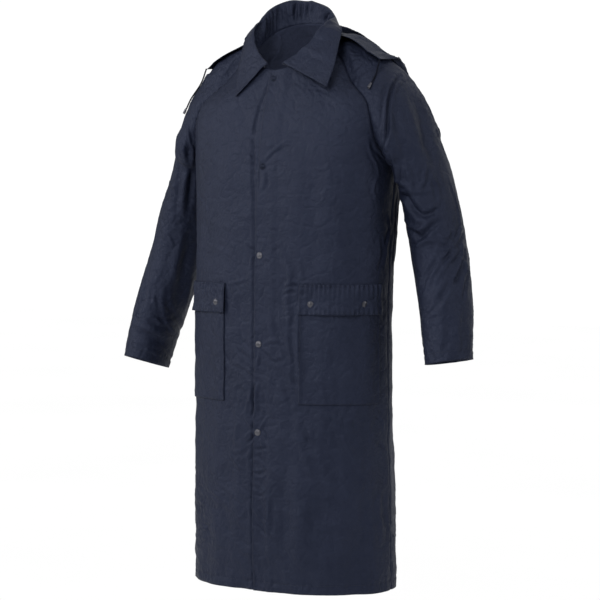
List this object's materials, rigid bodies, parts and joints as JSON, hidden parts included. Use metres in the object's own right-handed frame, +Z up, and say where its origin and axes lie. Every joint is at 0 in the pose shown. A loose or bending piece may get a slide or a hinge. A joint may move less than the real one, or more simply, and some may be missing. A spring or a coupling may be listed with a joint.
{
  "type": "hooded raincoat",
  "caption": "Long hooded raincoat of thin coated cloth, filled out as worn, with raglan sleeves, snap front, flap pockets and its hood thrown back",
  "frame": {"origin": "The middle of the neck at the height of the side neck points, where the wearer's shoulders hold the coat", "axes": "+Z up, the front faces -Y, the wearer's left is +X"},
  "size_m": [0.836, 0.371, 1.2361],
  "materials": {
    "navy_cloth": "thin coated taffeta, soft sheen",
    "snap_metal": "satin",
    "navy_cord": "round braided cord"
  },
  "bodies": {
    "root": {"front_left": "navy_cloth", "front_right": "navy_cloth", "back": "navy_cloth", "sleeve_left": "navy_cloth", "sleeve_right": "navy_cloth", "collar": "navy_cloth", "hood": "navy_cloth", "pocket_left": "navy_cloth", "pocket_right": "navy_cloth", "flap_left": "navy_cloth", "flap_right": "navy_cloth", "snap_1": "snap_metal", "snap_2": "snap_metal", "snap_3": "snap_metal", "snap_4": "snap_metal", "snap_5": "snap_metal", "flap_left_snap_1": "snap_metal", "flap_left_snap_2": "snap_metal", "flap_right_snap_1": "snap_metal", "flap_right_snap_2": "snap_metal", "cord_end_left": "snap_metal", "cord_end_right": "snap_metal", "hood_cord_left": "navy_cord", "hood_cord_right": "navy_cord"}
  },
  "joints": []
}
